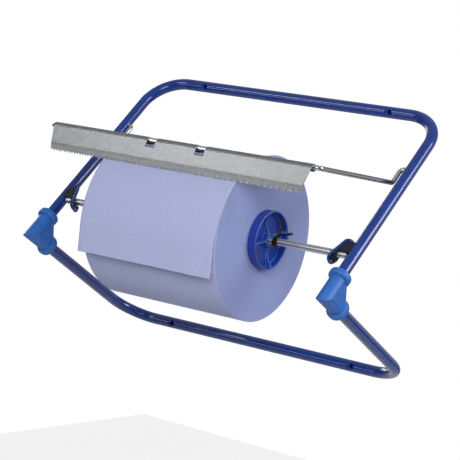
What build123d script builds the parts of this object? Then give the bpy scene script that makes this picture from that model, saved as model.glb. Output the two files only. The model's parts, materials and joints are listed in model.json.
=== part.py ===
import os
from math import cos, pi, radians, sin, sqrt, tan

from build123d import *

# A wall-mounted holder for a roll of wrapping paper with a toothed cutter, in millimetres.
# The origin is the centre of the four wall screws on the wall plane, +Z is up and the front is -Y.

# Tube frames
tube_diameter = 20.0
tube_wall = 1.5
frame_width = 600.0  # between the centre lines of the arms
bar_spacing = 445.0  # between the centre lines of the two wall bars
apex_reach = 308.4  # from the bars' centre lines forward to the corner of the elbows
apex_drop = 296.5  # from the upper bar down to the corner of the elbows
bend_radius = 65.0

# Wall screws, each in a cone pressed into the front of a bar
screw_spacing = 390.0
screw_hole_diameter = 6.5
dimple_diameter = 15.0
dimple_depth = 6.0

# Elbows
sleeve_diameter = 26.6
sleeve_length = 51.0  # from the corner to the mouth of a socket
socket_setback = 22.0  # from the corner to the bottom of a socket
knee_rounding = 5.0
collar_diameter = 37.0
collar_length = 12.5
collar_rounding = 4.0
web_reach = 47.0  # how far the web follows each sleeve
web_step = 0.6  # how far the web lies back from the sleeves' sides

# Shaft and its hangers
shaft_diameter = 12.0
shaft_distance = 91.3  # from the elbow's corner up the upper arm
shaft_end_gap = 0.6
shaft_chamfer = 1.2
hanger_wire = 5.0
hanger_inset = 31.2  # from the arm's centre line inward to the hook, at the shaft
hanger_slant = 18.8  # the hook leans inward from the arm on its way down
hanger_top = 31.5  # hook corners, measured along the hook from the shaft
hanger_bottom = 17.5
hanger_rear = 9.8  # from the shaft's axis back to the rear strand
hanger_tip_drop = 3.2  # the free end of the hook, below and behind the shaft's axis
hanger_tip_rear = 11.0
hanger_radius = 8.0
weld_rise = 28.6  # where the hook's top leg is aimed inside the arm
weld_rear = 2.0
weld_reach = 15.8
weld_gap = 0.1
plate_thickness = 3.0
plate_low = 1.0  # lower edge of the front plate, above the shaft's axis
plate_high = 22.0
plate_neck = 9.0  # how far the neck reaches down to the seat
plate_gap = 0.3
exit_angle = 25.0  # the slot leans back from the arm, so the shaft lifts out to the rear
exit_travel = 60.0

# Roll, core and loose sheet
roll_diameter = 275.3
roll_length = 268.3
roll_offset = -3.6  # the roll hangs a little left of the middle
core_bore = 70.0
core_wall = 4.0
tail_thickness = 0.6
tail_start_angle = 70.0  # on the roll, up from the front
tail_leave_angle = 42.0
tail_bow_radius = 155.0
tail_tuck_angle = 4.2
tail_drop = 65.3  # lower edge below the shaft

# Hubs
hub_diameter = 97.4
hub_depth = 16.0  # the rim stands this far off the face of the roll
hub_wall = 2.8
hub_floor = 3.0
hub_boss_diameter = 22.0
hub_boss_height = 13.0
hub_plug_length = 26.0
hub_plug_taper = 2.0
rim_rounding = 0.9
rib_count = 4
rib_turn = 17.0
rib_thickness = 2.4
rib_rim_inset = 1.2
rib_low_height = 6.5
rib_low_share = 0.42  # where along the rib its edge lies deepest

# Spring clips
clip_wire = 2.5
clip_pitch = 3.2
clip_turn = 888.0  # degrees of coil
clip_lean = 12.0
clip_steps = 10
clip_stand_off = 4.0  # from the rim plane of the hub to the first turn
clip_handle_length = 34.0
clip_handle_radius = 3.5
clip_handle_return = 20.0
clip_leg_rise = 11.0
clip_leg_length = 28.0
clip_leg_slope = 13.0
clip_leg_radius = 4.0
clip_tip_wall = 0.9
clip_tip_length = 9.0
clip_tip_cap = 1.0
clip_samples = 400

# Cutter blade and bail
blade_length = 520.0
blade_end_taper = 9.0
blade_thickness = 1.2
blade_angle = 40.0  # the teeth meet the sheet at this angle above the front
blade_lean = 19.1
blade_face = 33.5  # from the rod to the crease
blade_lip = 12.4  # from the crease to the teeth
blade_lip_angle = 17.3
blade_curl_angle = 240.0
blade_corner = 4.0
tooth_pitch = 5.75
tooth_depth = 3.4
window_spacing = 99.0
window_width = 20.0
window_depth = 13.0  # below the rod
bail_wire = 8.0
bail_bend_radius = 8.0
bail_side_gap = 8.5  # from the end of the blade to the corner of the bail
pivot_distance = 297.5  # from the elbow's corner up the upper arm
crank_length = 34.0
crank_inset = 18.0
pin_reach = 12.0  # how far a pivot pin stands into the arm

# Fits
press_clearance = 0.05
running_clearance = 0.08
seat_clearance = 0.3
overrun = 5.0

tube_radius = tube_diameter / 2
arm_x = frame_width / 2
bar_y = -tube_radius
bar_z = bar_spacing / 2
x_axis = Vector(1, 0, 0)
apex = Vector(0, bar_y - apex_reach, bar_z - apex_drop)
upper_arm = Vector(0, apex_reach, apex_drop)
lower_arm = Vector(0, apex_reach, apex_drop - bar_spacing)
up_the_arm = upper_arm.normalized()
shaft_radius = shaft_diameter / 2
shaft_point = apex + up_the_arm * shaft_distance
shaft_axis = Axis(shaft_point, x_axis)
roll_radius = roll_diameter / 2
core_radius = core_bore / 2 + core_wall
roll_point = shaft_point + x_axis * roll_offset
roll_face = roll_offset + roll_length / 2
roll_middle = Plane.YZ.offset(roll_offset)

os.makedirs("parts", exist_ok=True)


def save(builder, name):
    builder.part.label = name
    export_step(builder.part, f"parts/{name}.step")


def mirrored(builder, plane=Plane.YZ):
    with BuildPart() as copy:
        mirror(builder.part, about=plane)
    return copy


# Frames: a wall bar with an arm bent forward from each end
def screw_dimple():
    with BuildPart(Plane(origin=(0, -tube_radius, 0), z_dir=(0, 1, 0))) as dimple:
        Cone(
            dimple_diameter / 2 + tube_wall,
            screw_hole_diameter / 2 + tube_wall,
            dimple_depth,
            align=(Align.CENTER, Align.CENTER, Align.MIN),
        )
        with BuildSketch(Plane.YZ):
            Circle(tube_radius)
        extrude(amount=dimple_diameter, both=True, mode=Mode.INTERSECT)
    return dimple


def right_half_frame(bar_height, arm):
    plane = Plane(origin=(0, bar_y, bar_height), x_dir=x_axis, z_dir=arm.cross(x_axis))
    hole_x = screw_spacing / 2
    dimple = screw_dimple()
    with BuildPart() as half:
        with BuildLine(plane) as route:
            FilletPolyline((0, 0), (arm_x, 0), (arm_x, arm.length - socket_setback), radius=bend_radius)
        with BuildSketch(Plane(origin=route.line @ 0, x_dir=plane.z_dir, z_dir=route.line % 0)):
            Circle(tube_radius)
            Circle(tube_radius - tube_wall, mode=Mode.SUBTRACT)
        sweep(path=route.line)
        with Locations((hole_x, bar_y, bar_height)):
            add(dimple.part)
        with Locations(Plane(origin=(hole_x, bar_y - tube_radius, bar_height), z_dir=(0, 1, 0))):
            Cone(
                dimple_diameter / 2,
                screw_hole_diameter / 2,
                dimple_depth - tube_wall,
                align=(Align.CENTER, Align.CENTER, Align.MIN),
                mode=Mode.SUBTRACT,
            )
            Cylinder(
                screw_hole_diameter / 2,
                tube_diameter,
                align=(Align.CENTER, Align.CENTER, Align.MIN),
                mode=Mode.SUBTRACT,
            )
    return half


# The bail's pivot holes go through the inner wall of the upper arms
pivot_point = apex + up_the_arm * pivot_distance
with BuildPart() as upper_frame:
    add(right_half_frame(bar_z, upper_arm).part)
    with BuildSketch(Plane(origin=pivot_point + x_axis * arm_x, z_dir=-x_axis)):
        Circle(bail_wire / 2 + running_clearance)
    extrude(amount=tube_radius + overrun, mode=Mode.SUBTRACT)
    mirror(about=Plane.YZ)

with BuildPart() as lower_frame:
    add(right_half_frame(-bar_z, lower_arm).part)
    mirror(about=Plane.YZ)

save(upper_frame, "upper_frame")
save(lower_frame, "lower_frame")

# Elbows: two sleeves that meet in a knee, with a web in the crotch and a collar at each mouth
corner = apex + x_axis * arm_x
arm_directions = (up_the_arm, lower_arm.normalized())
elbow_plane = Plane(origin=corner, x_dir=(0, 1, 0), z_dir=x_axis)
sleeve_radius = sleeve_diameter / 2
# Seen from the side, x to the rear and y up: the sleeves' headings, and the knee's own line between them
side_headings = [Vector(direction.Y, direction.Z) for direction in arm_directions]
knee_heading = (side_headings[0] + side_headings[1]).normalized()
knee_half_angle = radians(side_headings[0].get_angle(side_headings[1])) / 2
knee_centre = knee_heading * ((knee_rounding - sleeve_radius) / sin(knee_half_angle))
knee_tip = knee_heading * (-sleeve_radius / sin(knee_half_angle) - 2 * overrun)
knee_sides = []
for here, there in (side_headings, reversed(side_headings)):
    outward = (here * here.dot(there) - there).normalized()
    knee_sides.append(knee_centre + outward * (knee_rounding + overrun))
with BuildPart() as right_elbow:
    with BuildLine() as knee:
        mouths = [corner + direction * sleeve_length for direction in arm_directions]
        Polyline(mouths[0], corner, mouths[1])
    with BuildSketch(Plane(origin=knee.line @ 0, z_dir=knee.line % 0)):
        Circle(sleeve_radius)
    sweep(path=knee.line, transition=Transition.RIGHT)
    for direction in arm_directions:
        with BuildSketch(Plane(origin=corner + direction * sleeve_length, z_dir=-direction)):
            Circle(collar_diameter / 2)
        extrude(amount=collar_length)
    rims = right_elbow.edges().filter_by(GeomType.CIRCLE)
    fillet(rims.filter_by(lambda rim: rim.radius > sleeve_radius + press_clearance), collar_rounding)
    with BuildSketch(elbow_plane):
        reach = [heading * web_reach for heading in side_headings]
        Polygon((0, 0), (reach[1].X, reach[1].Y), (reach[0].X, reach[0].Y), align=None)
    extrude(amount=sleeve_radius - web_step, both=True)
    with BuildSketch(elbow_plane):
        Polygon(*[(p.X, p.Y) for p in (knee_centre, knee_sides[0], knee_tip, knee_sides[1])], align=None)
        with Locations((knee_centre.X, knee_centre.Y)):
            Circle(knee_rounding, mode=Mode.SUBTRACT)
    extrude(amount=sleeve_diameter, both=True, mode=Mode.SUBTRACT)
    for direction in arm_directions:
        with BuildSketch(Plane(origin=corner + direction * socket_setback, z_dir=direction)):
            Circle(tube_radius + press_clearance)
        extrude(amount=sleeve_length, mode=Mode.SUBTRACT)

save(right_elbow, "right_elbow")
save(mirrored(right_elbow), "left_elbow")

# Hangers: a wire hook welded to each upper arm, and a black plate in it that seats the shaft
# Local axes: x up the arm from the shaft, or up the hook, y square to it to the front, z along the shaft
hook_x = arm_x - hanger_inset
slant = radians(hanger_slant)
hanger_plane = Plane(origin=shaft_point, x_dir=up_the_arm, z_dir=x_axis)
hook_plane = Plane(
    origin=shaft_point + x_axis * hook_x,
    x_dir=up_the_arm * cos(slant) + x_axis * sin(slant),
    z_dir=x_axis * cos(slant) - up_the_arm * sin(slant),
)
slot_radius = shaft_radius + seat_clearance
strand_front = slot_radius + hanger_wire / 2


def hook_wire(radius):
    with BuildPart() as wire:
        with BuildLine(hook_plane) as hook:
            FilletPolyline(
                (weld_rise, -weld_rear, weld_reach),
                (hanger_top, strand_front, 0),
                (-hanger_bottom, strand_front, 0),
                (-hanger_bottom, -hanger_rear, 0),
                (-hanger_tip_drop, -hanger_tip_rear, 0),
                radius=hanger_radius,
            )
        with BuildSketch(Plane(origin=hook.line @ 0, z_dir=hook.line % 0)):
            Circle(radius)
        sweep(path=hook.line)
    return wire


with BuildPart() as arm_room:
    with BuildSketch(Plane(origin=corner, z_dir=up_the_arm)):
        Circle(tube_radius + weld_gap)
    extrude(amount=upper_arm.length)

with BuildPart() as right_hanger:
    add(hook_wire(hanger_wire / 2).part)
    add(arm_room.part, mode=Mode.SUBTRACT)

wire_room = hanger_wire / 2 + plate_gap
plate_front = slot_radius + plate_thickness
seat_front = strand_front - wire_room
seat_rear = hanger_rear - wire_room
seat_foot = hanger_bottom - wire_room
with BuildPart() as right_hanger_plate:
    # Seat between the two strands, below the shaft
    with BuildSketch(hook_plane.offset(-plate_thickness / 2)):
        with Locations((0, seat_front)):
            seat = Rectangle(seat_foot, seat_front + seat_rear, align=(Align.MAX, Align.MAX))
        fillet(seat.vertices().group_by(Axis(shaft_point, hook_plane.x_dir))[0], hanger_radius - wire_room)
    extrude(amount=plate_thickness / 2 + wire_room + plate_thickness)
    # Neck past the shaft, beside the front strand
    with BuildSketch(hook_plane.offset(wire_room)):
        with Locations((-plate_neck, 0)):
            Rectangle(plate_neck + plate_low + plate_thickness, plate_front, align=(Align.MIN, Align.MIN))
    extrude(amount=plate_thickness)
    # Front plate from the strand to the arm: x up the arm, y along the shaft
    front_point = shaft_point + hanger_plane.y_dir * plate_front
    with BuildSketch(Plane(origin=front_point, x_dir=up_the_arm, z_dir=-hanger_plane.y_dir)):
        strand = [(x, hook_x + x * tan(slant) + wire_room / cos(slant)) for x in (plate_low, plate_high)]
        Polygon(*strand, (plate_high, arm_x), (plate_low, arm_x), align=None)
    extrude(amount=plate_thickness)
    with BuildSketch(hanger_plane.offset(hook_x)):
        Circle(slot_radius)
        Rectangle(exit_travel, 2 * slot_radius, rotation=-exit_angle, align=(Align.MIN, Align.CENTER))
    extrude(amount=hanger_inset, both=True, mode=Mode.SUBTRACT)
    add(hook_wire(wire_room).part, mode=Mode.SUBTRACT)
    add(arm_room.part, mode=Mode.SUBTRACT)

save(right_hanger, "right_hanger")
save(mirrored(right_hanger), "left_hanger")
save(right_hanger_plate, "right_hanger_plate")
save(mirrored(right_hanger_plate), "left_hanger_plate")

# Shaft between the arms
shaft_half_length = arm_x - tube_radius - shaft_end_gap
with BuildPart() as roll_shaft:
    with BuildSketch(Plane(origin=shaft_point, z_dir=x_axis)):
        Circle(shaft_radius)
    extrude(amount=shaft_half_length, both=True)
    chamfer(roll_shaft.edges().filter_by(GeomType.CIRCLE), shaft_chamfer)
save(roll_shaft, "roll_shaft")

# Paper on its cardboard core
across_roll = Plane(origin=roll_point, z_dir=x_axis)
with BuildPart() as roll_core:
    with BuildSketch(across_roll):
        Circle(core_radius)
        Circle(core_bore / 2, mode=Mode.SUBTRACT)
    extrude(amount=roll_length / 2, both=True)
save(roll_core, "roll_core")

with BuildPart() as paper_roll:
    with BuildSketch(across_roll):
        Circle(roll_radius)
        Circle(core_radius + press_clearance, mode=Mode.SUBTRACT)
    extrude(amount=roll_length / 2, both=True)
save(paper_roll, "paper_roll")

# Loose sheet: it leaves the roll under the blade, bows out and hangs down
# Local axes: x to the front, y up
side_view = Plane(origin=roll_point, x_dir=(0, -1, 0), z_dir=-x_axis)
tail_inner = roll_radius + seat_clearance
tail_outer = tail_inner + tail_thickness
bow_shift = tail_bow_radius - tail_inner
bow_centre = (-bow_shift * cos(radians(tail_leave_angle)), -bow_shift * sin(radians(tail_leave_angle)))
bow_turn = tail_leave_angle + tail_tuck_angle
with BuildPart() as paper_tail:
    with BuildSketch(side_view):
        with BuildLine():
            ends = []
            for on_roll, on_bow in (
                (tail_inner, tail_bow_radius),
                (tail_outer, tail_bow_radius + tail_thickness),
            ):
                lap = CenterArc((0, 0), on_roll, tail_start_angle, tail_leave_angle - tail_start_angle)
                bow = CenterArc(bow_centre, on_bow, tail_leave_angle, -bow_turn)
                fall = bow @ 1
                hem_x = fall.X - (fall.Y + tail_drop) * tan(radians(tail_tuck_angle))
                drop = Line(fall, (hem_x, -tail_drop))
                ends.append((lap @ 0, drop @ 1))
            Line(ends[0][0], ends[1][0])
            Line(ends[0][1], ends[1][1])
        make_face()
    extrude(amount=roll_length / 2, both=True)
save(paper_tail, "paper_tail")

# Hubs: a ribbed cup against the face of the roll and a plug in its core
# Local axes: x along the shaft from the face of the roll, y away from the shaft
face_point = shaft_point + x_axis * roll_face
hub_section = Plane(origin=face_point, x_dir=x_axis, z_dir=(0, -1, 0))
hub_bore = shaft_radius + running_clearance
boss_radius = hub_boss_diameter / 2
cup_inner = hub_diameter / 2 - hub_wall
plug_outer = core_bore / 2 - seat_clearance
hub_back = seat_clearance
floor_top = hub_back + hub_floor
with BuildPart() as right_hub:
    with BuildSketch(hub_section):
        with BuildLine():
            Polyline(
                (-hub_plug_length, hub_bore),
                (hub_boss_height, hub_bore),
                (hub_boss_height, boss_radius),
                (floor_top, boss_radius),
                (floor_top, cup_inner),
                (hub_depth, cup_inner),
                (hub_depth, hub_diameter / 2),
                (hub_back, hub_diameter / 2),
                (hub_back, plug_outer),
                (hub_plug_taper - hub_plug_length, plug_outer),
                (-hub_plug_length, plug_outer - hub_plug_taper),
                (-hub_plug_length, plug_outer - hub_wall - hub_plug_taper),
                (hub_back, plug_outer - hub_wall - hub_plug_taper),
                (hub_back, boss_radius),
                (-hub_plug_length, boss_radius),
                close=True,
            )
        section = make_face()
        fillet(section.vertices().group_by(Axis(face_point, x_axis))[-1], rim_rounding)
    revolve(axis=shaft_axis)
    rib_span = cup_inner - boss_radius
    for number in range(rib_count):
        turn = rib_turn + number * 360 / rib_count
        with BuildSketch(Plane(hub_section.location * Location((0, 0, 0), (turn, 0, 0)))):
            with BuildLine():
                inner = Polyline(
                    (hub_boss_height, boss_radius - hub_wall),
                    (floor_top - hub_floor / 2, boss_radius - hub_wall),
                    (floor_top - hub_floor / 2, cup_inner + hub_wall / 2),
                    (hub_depth - rib_rim_inset, cup_inner + hub_wall / 2),
                )
                lowest = (rib_low_height, boss_radius + rib_span * rib_low_share)
                ThreePointArc(inner @ 1, lowest, inner @ 0)
            make_face()
        extrude(amount=rib_thickness / 2, both=True)

save(right_hub, "right_hub")
save(mirrored(right_hub, roll_middle), "left_hub")

# Spring clips: a coil round the shaft with a hairpin handle and one straight leg
coil_radius = shaft_radius + running_clearance + clip_wire / 2
coil_point = shaft_point + x_axis * (roll_face + hub_depth + clip_stand_off)


def coil_place(turned):
    """A place on the coil and its heading, after this many degrees of coil."""
    angle = -radians(clip_lean + turned)
    place = Vector(clip_pitch * turned / 360, coil_radius * cos(angle), coil_radius * sin(angle))
    heading = Vector(clip_pitch / (2 * pi), coil_radius * sin(angle), -coil_radius * cos(angle))
    return coil_point + place, heading.normalized()


def arc_from(start, heading, end):
    """Draw the arc that leaves start along heading and reaches end, and return its last heading."""
    chord = end - start
    across = heading - chord * (heading.dot(chord) / chord.dot(chord))
    half_turn = radians(heading.get_angle(chord)) / 2
    middle = start + chord / 2 + across.normalized() * (chord.length / 2 * tan(half_turn))
    ThreePointArc(start, middle, end)
    along = chord.normalized()
    return along * (2 * heading.dot(along)) - heading


def biarc(start, start_heading, end, end_heading):
    """Join two places of the coil by two arcs that follow both headings."""
    span = end - start
    both = start_heading + end_heading
    bend = 2 * (1 - start_heading.dot(end_heading))
    reach = (sqrt(span.dot(both) ** 2 + bend * span.dot(span)) - span.dot(both)) / bend
    joint = (start + start_heading * reach + end - end_heading * reach) / 2
    arc_from(joint, arc_from(start, start_heading, joint), end)


with BuildLine() as clip_route:
    places = [coil_place(clip_turn * step / clip_steps) for step in range(clip_steps + 1)]
    coil_start, start_heading = places[0]
    coil_end, end_heading = places[-1]
    handle_top = coil_start - start_heading * clip_handle_length
    handle_side = Vector(0, -start_heading.Z, start_heading.Y).normalized()
    handle_crown = handle_top + handle_side * clip_handle_radius - start_heading * clip_handle_radius
    handle_turn = handle_top + handle_side * (2 * clip_handle_radius)
    Line(handle_turn + start_heading * clip_handle_return, handle_turn)
    ThreePointArc(handle_turn, handle_crown, handle_top)
    Line(handle_top, coil_start)
    for here, there in zip(places, places[1:]):
        biarc(*here, *there)
    leg_heading = Vector(cos(radians(clip_leg_slope)), 0, sin(radians(clip_leg_slope)))
    leg_corner = coil_end + end_heading * clip_leg_rise
    leg_tip = leg_corner + leg_heading * clip_leg_length
    FilletPolyline(coil_end, leg_corner, leg_tip, radius=clip_leg_radius)

with BuildPart() as right_spring_clip:
    clip_wire_route = Wire(clip_route.line.edges())
    with BuildSketch(Plane(origin=clip_wire_route @ 0, z_dir=clip_wire_route % 0)):
        Circle(clip_wire / 2)
    sweep(path=clip_wire_route)

# Least gap between stretches of the wire that lie more than half a turn apart
samples = [clip_wire_route @ (step / clip_samples) for step in range(clip_samples + 1)]
skip = int(pi * coil_radius / clip_wire_route.length * clip_samples)
least = min(
    (samples[i] - samples[j]).length
    for i in range(clip_samples + 1)
    for j in range(i + skip, clip_samples + 1)
)
print(f"spring clip: least gap to itself {least - clip_wire:.2f} mm")

with BuildPart() as right_clip_tip:
    with BuildSketch(Plane(origin=leg_tip + leg_heading * clip_tip_cap, z_dir=-leg_heading)):
        Circle(clip_wire / 2 + press_clearance + clip_tip_wall)
    extrude(amount=clip_tip_length)
    fillet(right_clip_tip.faces().sort_by(Axis(leg_tip, leg_heading))[-1].edges(), clip_tip_wall)
    with BuildSketch(Plane(origin=leg_tip, z_dir=-leg_heading)):
        Circle(clip_wire / 2 + press_clearance)
    extrude(amount=clip_tip_length, mode=Mode.SUBTRACT)

save(right_spring_clip, "right_spring_clip")
save(mirrored(right_spring_clip, roll_middle), "left_spring_clip")
save(right_clip_tip, "right_clip_tip")
save(mirrored(right_clip_tip, roll_middle), "left_clip_tip")

# Cutter blade: sheet curled round the front rod, a face, and a lip bent back to the teeth
# Local axes of its section: x down the face from the rod, y to the front
lean = radians(blade_lean)
down = Vector(0, -sin(lean), -cos(lean))
forward = Vector(0, -cos(lean), sin(lean))
curl_inner = bail_wire / 2 + running_clearance
curl_outer = curl_inner + blade_thickness
lip = radians(blade_lip_angle)
lip_along = Vector(cos(lip), -sin(lip))
lip_across = Vector(sin(lip), cos(lip)) * (blade_thickness / 2)
crease = Vector(blade_face, curl_inner + blade_thickness / 2)
crease_mitre = Vector(tan(lip / 2), 1) * (blade_thickness / 2)
teeth = crease + lip_along * blade_lip
teeth_back = teeth - lip_across
sheet_radius = tail_outer + seat_clearance
teeth_angle = radians(blade_angle)
touch_point = shaft_point + Vector(0, -cos(teeth_angle), sin(teeth_angle)) * sheet_radius
rod_point = touch_point - down * teeth_back.X - forward * teeth_back.Y
blade_half = blade_length / 2
tooth_count = int((blade_length - 2 * blade_end_taper) / tooth_pitch)
tooth_line = -teeth.X - blade_thickness
with BuildPart() as cutter_blade:
    with BuildSketch(Plane(origin=rod_point, x_dir=down, z_dir=-x_axis)):
        with BuildLine():
            outer_curl = CenterArc((0, 0), curl_outer, 90, blade_curl_angle)
            inner_curl = CenterArc((0, 0), curl_inner, 90, blade_curl_angle)
            Line(outer_curl @ 1, inner_curl @ 1)
            Polyline(outer_curl @ 0, crease + crease_mitre, teeth + lip_across, teeth_back)
            Polyline(inner_curl @ 0, crease - crease_mitre, teeth_back)
        make_face()
    extrude(amount=blade_half, both=True)
    # Outline in the plane of the face: x along the rod, y up
    with BuildSketch(Plane(origin=rod_point, x_dir=x_axis, z_dir=forward)):
        with BuildLine():
            toothed_half = tooth_count * tooth_pitch / 2
            foot_half = blade_half - blade_end_taper
            sides = Polyline(
                (-toothed_half, tooth_line),
                (-foot_half, tooth_line),
                (-blade_half, curl_outer),
                (blade_half, curl_outer),
                (foot_half, tooth_line),
                (toothed_half, tooth_line),
            )
            zigzag = []
            for number in range(tooth_count):
                tooth_x = toothed_half - number * tooth_pitch
                zigzag.append((tooth_x, tooth_line))
                zigzag.append((tooth_x - tooth_pitch / 2, tooth_line + tooth_depth))
            Polyline(*zigzag, (-toothed_half, tooth_line))
        outline = make_face()
        fillet(outline.vertices().group_by(Axis(rod_point, -down))[-1], blade_corner)
        with Locations((-window_spacing / 2, -window_depth), (window_spacing / 2, -window_depth)):
            Rectangle(
                window_width,
                window_depth + curl_outer + overrun,
                align=(Align.CENTER, Align.MIN),
                mode=Mode.SUBTRACT,
            )
    extrude(amount=blade_face, both=True, mode=Mode.INTERSECT)
save(cutter_blade, "cutter_blade")

# Bail: one wire from pivot pin to pivot pin, cranked along the arms, with the blade on its front rod
crank_x = arm_x - crank_inset
rod_end_x = blade_half + bail_side_gap
crank_point = pivot_point - up_the_arm * crank_length
pin_x = arm_x - tube_radius + pin_reach
right_half = [
    rod_point + x_axis * rod_end_x,
    crank_point + x_axis * crank_x,
    pivot_point + x_axis * crank_x,
    pivot_point + x_axis * pin_x,
]
left_half = [Vector(-point.X, point.Y, point.Z) for point in reversed(right_half)]
with BuildPart() as cutter_bail:
    with BuildLine() as bail_route:
        FilletPolyline(*left_half, *right_half, radius=bail_bend_radius)
    with BuildSketch(Plane(origin=bail_route.line @ 0, z_dir=bail_route.line % 0)):
        Circle(bail_wire / 2)
    sweep(path=bail_route.line)
save(cutter_bail, "cutter_bail")

print("shaft", shaft_point, "pivot", pivot_point, "rod", rod_point)
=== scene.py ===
import json
import bpy
import numpy as np
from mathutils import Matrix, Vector


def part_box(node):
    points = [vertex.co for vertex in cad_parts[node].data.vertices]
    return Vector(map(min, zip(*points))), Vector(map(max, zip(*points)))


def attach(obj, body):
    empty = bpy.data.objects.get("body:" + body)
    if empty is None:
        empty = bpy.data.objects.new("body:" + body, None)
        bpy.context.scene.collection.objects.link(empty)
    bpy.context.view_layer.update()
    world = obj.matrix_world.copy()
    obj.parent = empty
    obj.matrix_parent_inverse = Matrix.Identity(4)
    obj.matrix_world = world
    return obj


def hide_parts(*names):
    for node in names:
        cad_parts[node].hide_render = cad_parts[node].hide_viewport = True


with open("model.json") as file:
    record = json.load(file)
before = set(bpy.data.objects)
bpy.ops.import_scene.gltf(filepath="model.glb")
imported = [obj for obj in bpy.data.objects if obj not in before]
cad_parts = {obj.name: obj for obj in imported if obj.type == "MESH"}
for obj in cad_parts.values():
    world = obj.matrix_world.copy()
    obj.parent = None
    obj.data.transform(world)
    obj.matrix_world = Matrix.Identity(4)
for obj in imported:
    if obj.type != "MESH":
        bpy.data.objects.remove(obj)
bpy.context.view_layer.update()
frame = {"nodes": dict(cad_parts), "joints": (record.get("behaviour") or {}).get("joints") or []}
nodes = frame["nodes"]
mm = 0.001
hingeAt = {joint["name"]: np.array(joint["pos_m"]) for joint in frame["joints"] if joint["type"] == "hinge"}
shaftLine = hingeAt["roll_spin"]
rodLine = hingeAt["blade_swing"]
print("stage: CAD frame loaded")


def linear(code):
    # An sRGB hex code as linear red, green, blue and alpha, by the standard's curve
    shares = np.array([int(code[k:k + 2], 16) for k in (1, 3, 5)]) / 255
    lifted = np.where(shares <= 0.04045, shares / 12.92, ((shares + 0.055) / 1.055) ** 2.4)
    return (*lifted.tolist(), 1.0)


def addNode(tree, kind, inputs=None, stops=(), **settings):
    # Adds a node with its options and colour stops, and sets its inputs or links them to a socket,
    # or to the first output of a node
    node = tree.nodes.new("ShaderNode" + kind)
    for name, value in settings.items():
        setattr(node, name, value)
    for name, value in (inputs or {}).items():
        source = value.outputs[0] if isinstance(value, bpy.types.Node) else value
        if isinstance(source, bpy.types.NodeSocket):
            tree.links.new(source, node.inputs[name])
        else:
            node.inputs[name].default_value = source
    for number, (place, code) in enumerate(stops):
        node.color_ramp.elements[number].position = place
        node.color_ramp.elements[number].color = linear(code)
    return node


def emptyTree(owner):
    # The cleared node tree of a material or a world
    owner.use_nodes = True
    owner.node_tree.nodes.clear()
    return owner.node_tree


def startMaterial(name):
    # A new material, its empty tree, and the object's own coordinates
    material = bpy.data.materials.new(name)
    tree = emptyTree(material)
    return material, tree, addNode(tree, "TexCoord").outputs["Object"]


def blueEnamel():
    # Baked gloss enamel on steel tube: deep navy, clear highlights, faint orange peel
    material, tree, place = startMaterial("blue_gloss_enamel")
    cloud = addNode(tree, "TexNoise", {"Vector": place, "Scale": 1 / (30 * mm), "Detail": 3})
    shade = addNode(tree, "ValToRGB", {"Fac": cloud}, stops=[(0.3, "#072b74"), (0.7, "#0b3382")])
    peel = addNode(tree, "TexNoise", {"Vector": place, "Scale": 1 / (6 * mm), "Detail": 1})
    relief = addNode(tree, "Bump", {"Height": peel, "Distance": 0.0015 * mm})
    shader = addNode(tree, "BsdfPrincipled", {
        "Base Color": shade, "Roughness": 0.4, "IOR": 1.5, "Specular IOR Level": 0.15,
        "Coat Weight": 1.0, "Coat Roughness": 0.06, "Coat Normal": relief})
    addNode(tree, "OutputMaterial", {"Surface": shader})
    return material


def elbowPlastic():
    # Injection-moulded polypropylene: satin mid blue with soft edges, and a moulded grain that is drawn
    # coarser than the real one so that it shows
    material, tree, place = startMaterial("blue_polypropylene")
    cloud = addNode(tree, "TexNoise", {"Vector": place, "Scale": 1 / (14 * mm), "Detail": 3})
    shade = addNode(tree, "ValToRGB", {"Fac": cloud}, stops=[(0.3, "#2a5ea8"), (0.7, "#2e66b2")])
    dullness = addNode(tree, "MapRange", {"Value": cloud, "To Min": 0.42, "To Max": 0.54})
    grain = addNode(tree, "TexNoise", {"Vector": place, "Scale": 1 / (0.8 * mm)})
    softEdge = addNode(tree, "Bevel", {"Radius": 2.5 * mm})
    relief = addNode(tree, "Bump", {"Height": grain, "Distance": 0.02 * mm, "Normal": softEdge})
    shader = addNode(tree, "BsdfPrincipled", {
        "Base Color": shade, "Roughness": dullness, "IOR": 1.49, "Normal": relief})
    addNode(tree, "OutputMaterial", {"Surface": shader})
    return material


def hubPlastic():
    # Injection-moulded ABS: royal blue, with soft edges, and a lighter blue painted along the edges as a
    # painted highlight.
    # The edge is where the rounded normal turns away from the face's own
    material, tree, place = startMaterial("blue_abs")
    cloud = addNode(tree, "TexNoise", {"Vector": place, "Scale": 1 / (9 * mm)})
    shade = addNode(tree, "ValToRGB", {"Fac": cloud}, stops=[(0.3, "#172f86"), (0.7, "#1b3792")])
    dullness = addNode(tree, "MapRange", {"Value": cloud, "To Min": 0.28, "To Max": 0.4})
    softEdge = addNode(tree, "Bevel", {"Radius": 1.3 * mm})
    flat = addNode(tree, "NewGeometry").outputs["Normal"]
    match = addNode(tree, "VectorMath", {0: softEdge, 1: flat}, operation="DOT_PRODUCT").outputs["Value"]
    edge = addNode(tree, "MapRange", {"Value": match, "From Min": 0.995, "From Max": 0.9})
    # The lighter blue mixed in where the normal is rounded is a painted highlight on the edges
    both = addNode(tree, "MixRGB", {"Fac": edge, "Color1": shade, "Color2": linear("#66a6f0")})
    shader = addNode(tree, "BsdfPrincipled", {
        "Base Color": both, "Roughness": dullness, "IOR": 1.53, "Normal": softEdge})
    addNode(tree, "OutputMaterial", {"Surface": shader})
    return material


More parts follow.
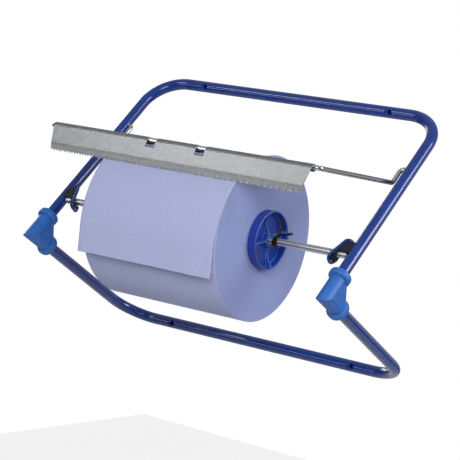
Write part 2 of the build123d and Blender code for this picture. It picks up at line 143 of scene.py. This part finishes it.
def chromePlate():
    # Bright chromium plate over drawn steel wire: nearly a mirror, with draw lines along X that are drawn
    # coarser than the real ones so that they show
    material, tree, place = startMaterial("chrome_plate")
    drawn = addNode(tree, "Mapping", {"Vector": place, "Scale": (0.02, 1, 1)})
    lines = addNode(tree, "TexNoise", {"Vector": drawn, "Scale": 1 / (0.7 * mm)})
    shade = addNode(tree, "ValToRGB", {"Fac": lines}, stops=[(0.3, "#c9cbcd"), (0.7, "#dcdee0")])
    dullness = addNode(tree, "MapRange", {"Value": lines, "To Min": 0.12, "To Max": 0.15})
    shader = addNode(tree, "BsdfPrincipled", {"Base Color": shade, "Roughness": dullness, "Metallic": 1.0})
    addNode(tree, "OutputMaterial", {"Surface": shader})
    return material


def groundShaft():
    # Chromium plate over centreless-ground steel: marks run round the shaft and draw the light along it.
    # They are drawn coarser than the real ones so that they show
    material, tree, place = startMaterial("ground_chrome_shaft")
    ground = addNode(tree, "Mapping", {"Vector": place, "Scale": (1, 0.02, 0.02)})
    marks = addNode(tree, "TexNoise", {"Vector": ground, "Scale": 1 / (0.9 * mm)})
    shade = addNode(tree, "ValToRGB", {"Fac": marks}, stops=[(0.3, "#cfd0d2"), (0.7, "#dddee0")])
    dullness = addNode(tree, "MapRange", {"Value": marks, "To Min": 0.36, "To Max": 0.4})
    around = addNode(tree, "Tangent", direction_type="RADIAL", axis="X")
    shader = addNode(tree, "BsdfPrincipled", {
        "Base Color": shade, "Roughness": dullness, "Metallic": 1.0,
        "Anisotropic": 0.9, "Anisotropic Rotation": 0.25, "Tangent": around})
    addNode(tree, "OutputMaterial", {"Surface": shader})
    return material


def galvanisedSheet():
    # Hot-dip galvanised steel: matt grey zinc with a fine frosted grain that sparkles softly
    material, tree, place = startMaterial("galvanised_steel")
    crystal = addNode(tree, "TexVoronoi", {"Vector": place, "Scale": 1 / (1.6 * mm)}).outputs["Color"]
    cell = addNode(tree, "SeparateColor", {"Color": crystal})
    cloud = addNode(tree, "TexNoise", {
        "Vector": place, "Scale": 1 / (9 * mm), "Detail": 4, "Roughness": 0.65})
    blend = addNode(tree, "Math", {0: cell, 1: cloud}, operation="MULTIPLY")
    shade = addNode(tree, "ValToRGB", {"Fac": blend}, stops=[(0.05, "#8f9294"), (0.6, "#b3b6b8")])
    dullness = addNode(tree, "MapRange", {"Value": cell, "To Min": 0.36, "To Max": 0.46})
    frost = addNode(tree, "TexNoise", {
        "Vector": place, "Scale": 1 / (1.8 * mm), "Detail": 3, "Roughness": 0.6})
    relief = addNode(tree, "Bump", {"Height": frost, "Distance": 0.018 * mm})
    shader = addNode(tree, "BsdfPrincipled", {
        "Base Color": shade, "Roughness": dullness, "Metallic": 1.0, "Normal": relief})
    addNode(tree, "OutputMaterial", {"Surface": shader})
    return material


def cutSteel():
    # Sheared edge of the sheet: bare bright steel with shear lines, drawn as coarse as they need to show
    material, tree, place = startMaterial("sheared_steel")
    sheared = addNode(tree, "Mapping", {"Vector": place, "Scale": (1, 0.1, 0.1)})
    lines = addNode(tree, "TexNoise", {"Vector": sheared, "Scale": 1 / (0.4 * mm)})
    shade = addNode(tree, "ValToRGB", {"Fac": lines}, stops=[(0.3, "#c4c6c8"), (0.7, "#dcdedf")])
    dullness = addNode(tree, "MapRange", {"Value": lines, "To Min": 0.3, "To Max": 0.45})
    shader = addNode(tree, "BsdfPrincipled", {"Base Color": shade, "Roughness": dullness, "Metallic": 1.0})
    addNode(tree, "OutputMaterial", {"Surface": shader})
    return material


def wipingPaper():
    # Soft lavender-blue wiping paper: matt, with cloudy formation and short fibres that are drawn coarser
    # than the real ones so that they show
    material, tree, place = startMaterial("lavender_paper")
    cloud = addNode(tree, "TexNoise", {
        "Vector": place, "Scale": 1 / (5 * mm), "Detail": 4, "Roughness": 0.6})
    shade = addNode(tree, "ValToRGB", {"Fac": cloud}, stops=[(0.3, "#a5acd2"), (0.7, "#aeb5d8")])
    laid = addNode(tree, "Mapping", {"Vector": place, "Scale": (1, 0.3, 0.3)})
    fibre = addNode(tree, "TexNoise", {"Vector": laid, "Scale": 1 / (0.5 * mm)})
    relief = addNode(tree, "Bump", {"Height": fibre, "Distance": 0.05 * mm})
    shader = addNode(tree, "BsdfPrincipled", {
        "Base Color": shade, "Roughness": 0.92, "IOR": 1.45, "Specular IOR Level": 0.25, "Normal": relief})
    addNode(tree, "OutputMaterial", {"Surface": shader})
    return material


def woundPaperEdge():
    # Cut edges of the wound paper: the paper's lavender drawn darker and bluer than on the sheet as painted
    # shade, and duller, in rings of layers by the distance from the shaft's line, with a little fluff. The
    # rings stand for several layers each, so that they show
    material, tree, place = startMaterial("wound_paper_edge")
    centred = addNode(tree, "Mapping", {
        "Vector": place, "Location": Vector(-shaftLine), "Scale": (0.0001, 1, 1)})
    radius = addNode(tree, "VectorMath", {0: centred}, operation="LENGTH").outputs["Value"]
    layers = addNode(tree, "TexNoise", {"W": radius, "Scale": 1 / (1.6 * mm), "Detail": 4},
                     noise_dimensions="1D")
    fluff = addNode(tree, "TexNoise", {
        "Vector": place, "Scale": 1 / (2.5 * mm), "Detail": 4, "Roughness": 0.65})
    both = addNode(tree, "Math", {0: layers, 1: fluff}, operation="ADD")
    half = addNode(tree, "MapRange", {"Value": both, "To Max": 0.5})
    # These stops are darker and bluer than the sheet's: painted shade on the end faces. The rings and fluff
    # only vary them
    shade = addNode(tree, "ValToRGB", {"Fac": half}, stops=[(0.35, "#7f89b6"), (0.65, "#929bc6")])
    rings = addNode(tree, "Bump", {"Height": layers, "Distance": 0.35 * mm})
    relief = addNode(tree, "Bump", {"Height": fluff, "Distance": 0.15 * mm, "Normal": rings})
    shader = addNode(tree, "BsdfPrincipled", {
        "Base Color": shade, "Roughness": 0.95, "IOR": 1.45, "Specular IOR Level": 0.2, "Normal": relief})
    addNode(tree, "OutputMaterial", {"Surface": shader})
    return material


def cardboard():
    # Spiral-wound grey-brown cardboard tube, matt and fibrous
    material, tree, place = startMaterial("cardboard")
    wound = addNode(tree, "Mapping", {"Vector": place, "Scale": (0.3, 1, 1)})
    fibre = addNode(tree, "TexNoise", {
        "Vector": wound, "Scale": 1 / (1.5 * mm), "Detail": 4, "Roughness": 0.7})
    shade = addNode(tree, "ValToRGB", {"Fac": fibre}, stops=[(0.3, "#8d775a"), (0.7, "#a68e6d")])
    relief = addNode(tree, "Bump", {"Height": fibre, "Distance": 0.08 * mm})
    shader = addNode(tree, "BsdfPrincipled", {
        "Base Color": shade, "Roughness": 0.9, "IOR": 1.45, "Normal": relief})
    addNode(tree, "OutputMaterial", {"Surface": shader})
    return material


def springWire():
    # Spring steel wire with a passivated zinc coat, drawn a very dark olive brown: painted shade darkens
    # the coat's own dull yellow
    material, tree, place = startMaterial("passivated_spring_wire")
    patch = addNode(tree, "TexNoise", {"Vector": place, "Scale": 1 / (2 * mm), "Detail": 3})
    # The near-black browns are painted shade on the wire, not the coat's colour
    shade = addNode(tree, "ValToRGB", {"Fac": patch}, stops=[(0.3, "#2b2619"), (0.7, "#4a412c")])
    dullness = addNode(tree, "MapRange", {"Value": patch, "To Min": 0.36, "To Max": 0.5})
    shader = addNode(tree, "BsdfPrincipled", {"Base Color": shade, "Roughness": dullness, "Metallic": 1.0})
    addNode(tree, "OutputMaterial", {"Surface": shader})
    return material


def blackVinyl():
    # Dipped black vinyl sleeve: near black, with a soft sheen
    material, tree, place = startMaterial("black_vinyl")
    patch = addNode(tree, "TexNoise", {"Vector": place, "Scale": 1 / (1.5 * mm)})
    shade = addNode(tree, "ValToRGB", {"Fac": patch}, stops=[(0.3, "#101114"), (0.7, "#1a1b1f")])
    dullness = addNode(tree, "MapRange", {"Value": patch, "To Min": 0.4, "To Max": 0.55})
    shader = addNode(tree, "BsdfPrincipled", {"Base Color": shade, "Roughness": dullness, "IOR": 1.52})
    addNode(tree, "OutputMaterial", {"Surface": shader})
    return material


def shadeDarkPlate():
    # Steel plate in the hanger, coloured near black as painted shade for the dark hollow of the hook, with
    # a faint cold sheen
    material, tree, place = startMaterial("painted_shade_plate")
    patch = addNode(tree, "TexNoise", {"Vector": place, "Scale": 1 / (4 * mm), "Detail": 3})
    # The near-black stops are painted shade, standing for the shadow inside the hook
    shade = addNode(tree, "ValToRGB", {"Fac": patch}, stops=[(0.3, "#0b0d14"), (0.7, "#151823")])
    dullness = addNode(tree, "MapRange", {"Value": patch, "To Min": 0.45, "To Max": 0.6})
    shader = addNode(tree, "BsdfPrincipled", {"Base Color": shade, "Roughness": dullness, "IOR": 1.5})
    addNode(tree, "OutputMaterial", {"Surface": shader})
    return material


enamel = blueEnamel()
zinc = galvanisedSheet()
cutEdge = cutSteel()
paper = wipingPaper()
paperEdge = woundPaperEdge()
finishes = {
    "upper_frame": enamel, "lower_frame": enamel, "roll_shaft": groundShaft(), "cutter_bail": chromePlate(),
    "cutter_blade": zinc, "roll_core": cardboard(), "paper_roll": paper, "paper_tail": paper,
}
pairFinishes = {
    "hanger": enamel, "hanger_plate": shadeDarkPlate(), "elbow": elbowPlastic(), "hub": hubPlastic(),
    "spring_clip": springWire(), "clip_tip": blackVinyl(),
}
for side in ("left_", "right_"):
    finishes.update({side + name: material for name, material in pairFinishes.items()})
for name, material in finishes.items():
    nodes[name].data.materials.clear()
    nodes[name].data.materials.append(material)
print("stage: materials")


def gridMesh(name, points, closedAcross, closedAlong, materials, faceMaterial=None, keep=None):
    # A mesh from a grid of points, rows along and columns across, closed or open each way. A material
    # number for each row of faces and a grid of the faces to keep may be given
    rows, columns = points.shape[:2]
    number = np.arange(rows * columns).reshape(rows, columns)
    if closedAlong:
        number = np.vstack([number, number[:1]])
    if closedAcross:
        number = np.hstack([number, number[:, :1]])
    quads = np.stack([number[:-1, :-1], number[:-1, 1:], number[1:, 1:], number[1:, :-1]], axis=-1)
    across = quads.shape[1]
    quads = quads.reshape(-1, 4) if keep is None else quads[keep]
    mesh = bpy.data.meshes.new(name)
    mesh.from_pydata(points.reshape(-1, 3), [], quads)
    mesh.polygons.foreach_set("use_smooth", np.ones(len(mesh.polygons), dtype=bool))
    for material in materials:
        mesh.materials.append(material)
    if faceMaterial is not None:
        mesh.polygons.foreach_set("material_index", np.repeat(faceMaterial, across).astype(np.int32))
    mesh.update()
    piece = bpy.data.objects.new(name, mesh)
    bpy.context.scene.collection.objects.link(piece)
    return piece


def thicken(piece, name, thickness):
    # Gives a sheet its thickness, half to each side
    wall = piece.modifiers.new(name, "SOLIDIFY")
    wall.thickness = thickness
    wall.offset = 0
    return wall


rollLow, rollHigh = np.round(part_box("paper_roll"), 6)  # to a thousandth of a millimetre
coreLow, coreHigh = np.round(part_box("roll_core"), 6)
roll = {
    "left": rollLow[0], "right": rollHigh[0], "radius": (rollHigh[2] - rollLow[2]) / 2,
    "inner": (coreHigh[2] - coreLow[2]) / 2 + 0.05 * mm, "edge": 0.6 * mm,
    "layerRelief": 0.35 * mm, "reliefFade": 6 * mm,
    "layerWaves": ((2.9 * mm, 0.3), (1.3 * mm, 1.7), (0.61 * mm, 4.0)),  # length per radian, phase
    "outOfRound": 0.12 * mm, "roundWaves": ((3, 0.4), (7, 2.0)),  # lobes, phase
    "flat": 5.5 * mm, "flatAt": 96.0, "flatHalf": 25.0, "flatFade": 16 * mm,  # angles up from the front
    "around": 288, "faceRings": 90, "edgeRings": 6, "lengthRings": 60, "cutRings": 2,
}


def buildRoll():
    # The wound paper as a surface of revolution round the shaft. Its section runs out along the left face,
    # round the edge, along the outside, and back in along the right face. Each face sinks by a mean of
    # sines of the radius, as layers that were wound a little in or out. The outside is out of round by
    # a mean of sines of the angle, and lies flatter on top by a squared cosine that fades out at the
    # right face.
    left, right, outer, edge = roll["left"], roll["right"], roll["radius"], roll["edge"]
    angle = np.linspace(0, 2 * np.pi, roll["around"], endpoint=False)
    face = np.linspace(roll["inner"], outer - edge, roll["faceRings"])
    turn = np.linspace(0, np.pi / 2, roll["edgeRings"])[1:]
    corner = outer - edge + edge * np.sin(turn)
    depth = edge * (1 - np.cos(turn))
    layers = np.mean([(np.sin(face / size + phase) + 1) / 2 for size, phase in roll["layerWaves"]], axis=0)
    sink = layers * roll["layerRelief"] * np.clip((outer - face) / roll["reliefFade"], 0, 1)
    middle = np.linspace(left + edge, right - edge, roll["lengthRings"])[1:-1]
    along = np.concatenate([left + sink, left + depth, middle, (right - depth)[::-1], (right - sink)[::-1]])
    out = np.concatenate([face, corner, np.full(len(middle), outer), corner[::-1], face[::-1]])
    lobes = np.mean([(np.sin(n * angle + phase) - 1) / 2 for n, phase in roll["roundWaves"]], axis=0)
    wobble = 1 + lobes * roll["outOfRound"] / outer
    past = np.clip((np.degrees(angle) - roll["flatAt"]) / roll["flatHalf"], -1, 1)
    fade = np.clip((right - along) / roll["flatFade"], 0, 1) * (out / outer) ** 3
    radius = np.outer(out, wobble) - np.outer(fade, np.cos(past * np.pi / 2) ** 2) * roll["flat"]
    points = np.stack([np.repeat(along[:, None], len(angle), axis=1),
                       shaftLine[1] - radius * np.cos(angle),
                       shaftLine[2] + radius * np.sin(angle)], axis=-1)
    cutRows = len(face) + roll["cutRings"]  # the face and the first rings of its rounded edge
    kind = np.ones(len(along), dtype=int)
    kind[cutRows:-cutRows - 1] = 0
    piece = gridMesh("wound_roll", points, True, True, [paper, paperEdge], kind)
    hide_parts("paper_roll")
    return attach(piece, "roll")


tail = {
    "left": roll["left"], "right": roll["right"], "thickness": 0.25 * mm,
    "lapRadius": roll["radius"] + 0.6 * mm, "bowRadius": 155.3 * mm, "lowerEdge": -65.3 * mm,
    "lapFrom": 70.0, "leave": 42.0, "tuck": 4.2,  # angles up from the front, the last one downward
    "edgeSink": 0.45 * mm, "edgeRun": 30 * mm,
    "wave": 0.7 * mm, "waves": ((1.0, 7.1, 0.6), (0.5, 15.3, 2.0)),  # share, radians across, phase
    "rows": 150, "columns": 120,
}


def buildTail():
    # The loose sheet as a grid of its middle surface. Down the sheet it follows the roll, then an arc of
    # larger radius that leaves the roll, then a straight drop to the cut edge. Its upper edge sinks onto
    # the roll by a square, and a slow wave across it grows with the square of the distance from where it
    # leaves the roll.
    leave, tuck, start = np.radians([tail["leave"], -tail["tuck"], tail["lapFrom"]])
    lapRadius, bowRadius = tail["lapRadius"], tail["bowRadius"]
    centre = (lapRadius - bowRadius) * np.array([np.cos(leave), np.sin(leave)])
    lapLength = (start - leave) * lapRadius
    bowLength = (leave - tuck) * bowRadius
    bowEnd = centre[1] + bowRadius * np.sin(tuck)
    dropLength = (bowEnd - tail["lowerEdge"]) / np.cos(tuck)
    length = lapLength + bowLength + dropLength
    down = np.linspace(0, length, tail["rows"])
    onLap = down < lapLength
    bowTurn = np.maximum(tuck, leave - (down - lapLength) / bowRadius)
    turn = np.where(onLap, start - down / lapRadius, bowTurn)
    sink = tail["edgeSink"] * np.clip(1 - down / tail["edgeRun"], 0, 1) ** 2
    reach = np.where(onLap, lapRadius - sink, bowRadius)
    dropped = np.clip(down - lapLength - bowLength, 0, None)
    forward = np.where(onLap, 0, centre[0]) + reach * np.cos(turn) + dropped * np.sin(tuck)
    up = np.where(onLap, 0, centre[1]) + reach * np.sin(turn) - dropped * np.cos(tuck)
    across = np.linspace(0, 1, tail["columns"])
    growth = np.clip((down - lapLength) / (length - lapLength), 0, 1) ** 2
    ripple = sum(share * np.sin(across * pace + phase) for share, pace, phase in tail["waves"])
    wave = np.outer(growth, ripple) * tail["wave"]
    points = np.stack([np.broadcast_to(tail["left"] + across * (tail["right"] - tail["left"]), wave.shape),
                       shaftLine[1] - forward[:, None] - wave * np.cos(turn)[:, None],
                       shaftLine[2] + up[:, None] + wave * np.sin(turn)[:, None]], axis=-1)
    piece = gridMesh("loose_sheet", points, False, False, [paper])
    thicken(piece, "paper_thickness", tail["thickness"])
    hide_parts("paper_tail")
    print("tail cut length", round(length / mm, 1), "mm")
    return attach(piece, "shaft")


blade = {
    "topHalf": 260 * mm, "footHalf": 251 * mm, "corner": 4 * mm, "thickness": 1.2 * mm, "spreadPower": 4,
    "lean": 19.1, "foot": (45.34 * mm, 0.99 * mm),  # down from the rod along the lean, and forward
    "lip": 9.5 * mm, "lipAngle": 17.3, "creaseRadius": 22 * mm, "face": 26.6 * mm, "tilt": 2.6,
    "bendRadius": 12 * mm, "bendTo": 28.0, "curlRadius": 5.6 * mm, "curlTo": 245.0,
    "teeth": 87, "pitch": 5.75 * mm, "toothDepth": 3.8 * mm, "toothSet": 1.5 * mm, "rowFrom": 4.2 * mm,
    "windowSpacing": 99 * mm, "windowWidth": 18 * mm, "windowLow": 13.8 * mm, "windowTo": 115.0,
    "rows": 90, "sectionSteps": 4000, "cornerSteps": 9, "crispAngle": 40.0,
}


def buildBlade():
    # The blade as a grid of its middle surface. Up from the teeth its section is a straight lip, a soft
    # crease, a straight face, a wide bend and a tight curl round the rod: the heading turns back evenly in
    # each bend, and its sine and cosine are summed to places. The lowest row is a zigzag with a quarter
    # circle at each end, and the ends spread upward with a power of the distance from the middle. Every
    # second tooth is set a little forward.
    lip, tilt = np.radians([-blade["lipAngle"], -blade["tilt"]])
    bendTo, curlTo = np.radians([blade["bendTo"], blade["curlTo"]])
    windowTo, lean = np.radians([blade["windowTo"], blade["lean"]])
    marks = np.cumsum([0, blade["lip"], (tilt - lip) * blade["creaseRadius"], blade["face"],
                       (bendTo - tilt) * blade["bendRadius"], (curlTo - bendTo) * blade["curlRadius"]])
    curlStart, top = marks[-2:]
    fine = np.linspace(0, top, blade["sectionSteps"])
    heading = np.interp((fine[1:] + fine[:-1]) / 2, marks, [lip, lip, tilt, tilt, bendTo, curlTo])
    down = blade["foot"][0] - np.concatenate([[0], np.cumsum(np.cos(heading))]) * fine[1]
    front = blade["foot"][1] - np.concatenate([[0], np.cumsum(np.sin(heading))]) * fine[1]
    windowFrom = fine[np.argmax(down < blade["windowLow"])]
    windowEnd = curlStart + (windowTo - bendTo) * blade["curlRadius"]
    rows = np.linspace(blade["rowFrom"], top, blade["rows"])
    rows = np.unique(np.concatenate([rows, [windowFrom, windowEnd]]))
    zigzag = (np.arange(2 * blade["teeth"] + 1) - blade["teeth"]) * blade["pitch"] / 2
    inset = blade["corner"] * (1 - np.cos(np.linspace(0, np.pi / 2, blade["cornerSteps"])))
    windows = (blade["windowSpacing"] + np.array((-1, 1)) * blade["windowWidth"]) / 2
    side = np.concatenate([blade["footHalf"] - inset, windows])
    column = np.unique(np.concatenate([zigzag, side, -side]))
    cut = (1 - abs(2 * ((column / blade["pitch"] + 0.5) % 1) - 1)) * blade["toothDepth"]
    fromEnd = np.clip(blade["corner"] - (blade["footHalf"] - abs(column)), 0, blade["corner"])
    rounding = blade["corner"] - np.sqrt(blade["corner"] ** 2 - fromEnd ** 2)
    climb = np.vstack([np.maximum(cut, rounding), np.repeat(rows[:, None], len(column), axis=1)])
    spread = (blade["topHalf"] / blade["footHalf"] - 1) * np.clip(climb / curlStart, 0, 1)
    along = column * (1 + spread * (column / blade["footHalf"]) ** blade["spreadPower"])
    drop = np.interp(climb, fine, down)
    ahead = np.interp(climb, fine, front)
    tip = 1 - np.clip(cut / blade["toothDepth"], 0, 1)
    ahead[0] += blade["toothSet"] * tip * (np.floor(column / blade["pitch"] + 1) % 2)
    points = np.stack([along, rodLine[1] - drop * np.sin(lean) - ahead * np.cos(lean),
                       rodLine[2] - drop * np.cos(lean) + ahead * np.sin(lean)], axis=-1)
    level = climb.mean(axis=1)
    level = (level[1:] + level[:-1]) / 2
    middle = abs(column[1:] + column[:-1]) / 2
    keep = ~np.outer((level > windowFrom) & (level < windowEnd),
                     (middle > windows[0]) & (middle < windows[1]))
    piece = gridMesh("sheet_blade", points, False, False, [zinc, cutEdge], keep=keep)
    thicken(piece, "sheet_thickness", blade["thickness"]).material_offset_rim = 1
    crisp = piece.modifiers.new("crisp_edges", "EDGE_SPLIT")
    crisp.split_angle = np.radians(blade["crispAngle"])
    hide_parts("cutter_blade")
    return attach(piece, "blade")


buildRoll()
buildTail()
buildBlade()
print("stage: roll, loose sheet and blade")

floor = {"height": -620 * mm, "half": 850 * mm, "shade": 0.6, "glow": 0.75}


def buildFloor():
    # A plain pale floor, well below a part that hangs on a wall. To the camera it glows nearly white
    material = bpy.data.materials.new("pale_floor")
    tree = emptyTree(material)
    matt = addNode(tree, "BsdfDiffuse", {"Color": (*[floor["shade"]] * 3, 1.0)})
    glow = addNode(tree, "Emission", {"Color": linear("#ffffff"), "Strength": 1.0})
    seen = addNode(tree, "LightPath").outputs["Is Camera Ray"]
    share = addNode(tree, "Math", {0: seen, 1: floor["glow"]}, operation="MULTIPLY")
    both = addNode(tree, "MixShader", {0: share, 1: matt, 2: glow})
    addNode(tree, "OutputMaterial", {"Surface": both})
    ends = np.array((-1, 1)) * floor["half"]
    across, deep = np.meshgrid(ends, ends)
    points = np.stack([across, deep, np.full_like(across, floor["height"])], axis=-1)
    gridMesh("studio_floor", points, False, False, [material])


room = {
    "ambient": 0.08, "dim": 0.12, "bright": 0.5,
    # Each grows with one axis of the ray's direction, from one value of it to another, up to a height
    "behind": ("Y", -0.1, 0.3, 1.0), "aboveFloor": ("Z", -0.25, -0.05, 1.0),
    "belowWall": ("Z", 0.35, 0.15, 1.0), "ceiling": ("Z", 0.3, 0.8, 0.28),
}


def buildWorld():
    # White where the camera sees it. Mirrored rays see a bright band low behind the part, a paler ceiling
    # and a dim room elsewhere, and the ambient light is weak.
    world = bpy.data.worlds.new("studio")
    bpy.context.scene.world = world
    tree = emptyTree(world)
    path = addNode(tree, "LightPath").outputs
    way = addNode(tree, "SeparateXYZ", {"Vector": addNode(tree, "TexCoord").outputs["Object"]}).outputs
    grown = {}
    for part in ("behind", "aboveFloor", "belowWall", "ceiling"):
        axis, start, end, height = room[part]
        grown[part] = addNode(tree, "MapRange", {
            "Value": way[axis], "From Min": start, "From Max": end, "To Max": height})
    band = addNode(tree, "Math", {0: grown["belowWall"], 1: grown["aboveFloor"]}, operation="MULTIPLY")
    sweep = addNode(tree, "Math", {0: grown["behind"], 1: band}, operation="MULTIPLY")
    walls = addNode(tree, "MapRange", {"Value": sweep, "To Min": room["dim"], "To Max": room["bright"]})
    around = addNode(tree, "Math", {0: walls, 1: grown["ceiling"]}, operation="ADD")
    mirrored = addNode(tree, "Math", {0: path["Is Glossy Ray"], 1: path["Is Transmission Ray"]},
                       operation="MAXIMUM")
    level = addNode(tree, "Mix", {"Factor": mirrored, "A": room["ambient"], "B": around})
    strength = addNode(tree, "Math", {0: level, 1: path["Is Camera Ray"]}, operation="MAXIMUM")
    back = addNode(tree, "Background", {"Color": linear("#ffffff"), "Strength": strength})
    addNode(tree, "OutputWorld", {"Surface": back})


lampAim = Vector((0, -0.15, 0))
lamps = {
    "key_box": {"place": (-1.4, -2.3, 1.05), "size": (0.6, 0.6), "watts": 6.2, "mirrored": False},
    "gloss_box": {"place": (-1.4, -2.3, 1.3), "size": (0.9, 0.4), "watts": 9.2, "lights": False},
    "left_strip": {"place": (-1.5, -2.6, -0.1), "size": (1.2, 0.35), "watts": 5.5},
    "right_box": {"place": (2.5, 0.5, 1.2), "size": (1.2, 1.2), "watts": 40},
    "front_box": {"place": (1.75, -2.35, 0.95), "size": (2.0, 1.7), "watts": 54, "mirrored": False},
    "fill_box": {"place": (1.2, -2.8, 0.9), "size": (1.4, 1.2), "watts": 26},
    "back_box": {"place": (-0.5, 2.0, 1.9), "size": (1.4, 1.4), "watts": 38, "mirrored": False},
    "side_box": {"place": (-2.4, 0.9, 0.7), "size": (1.2, 1.2), "watts": 18},
}


def softBox(name, place, size, watts, lights=True, mirrored=True):
    # A soft box of some width and height, turned to the part. One that doesn't light only shines back
    # from glossy surfaces, and one that isn't mirrored only lights
    light = bpy.data.lights.new(name, "AREA")
    light.shape = "RECTANGLE"
    light.size, light.size_y = size
    light.energy = watts
    piece = bpy.data.objects.new(name, light)
    piece.location = place
    piece.rotation_euler = (lampAim - Vector(place)).to_track_quat("-Z", "Y").to_euler()
    piece.visible_diffuse = lights
    piece.visible_glossy = mirrored
    bpy.context.scene.collection.objects.link(piece)


view = {
    "place": (1.526, -2.4555, 0.204), "turn": (85.39268, -8.10983, 34.25199),
    "lens": 125.76, "sensor": 36.0,
}


def placeCamera():
    # The photo's view, solved from its straight edges. The turn is in degrees about X, then Y, then Z
    camera = bpy.data.cameras.new("photo_view")
    camera.sensor_width = view["sensor"]
    camera.lens = view["lens"]
    piece = bpy.data.objects.new("photo_view", camera)
    piece.location = view["place"]
    piece.rotation_euler = np.radians(view["turn"])
    bpy.context.scene.collection.objects.link(piece)
    bpy.context.scene.camera = piece


buildFloor()
buildWorld()
for name, lamp in lamps.items():
    softBox(name, **lamp)
placeCamera()
bpy.context.scene.view_settings.view_transform = "Standard"
print("stage: studio")
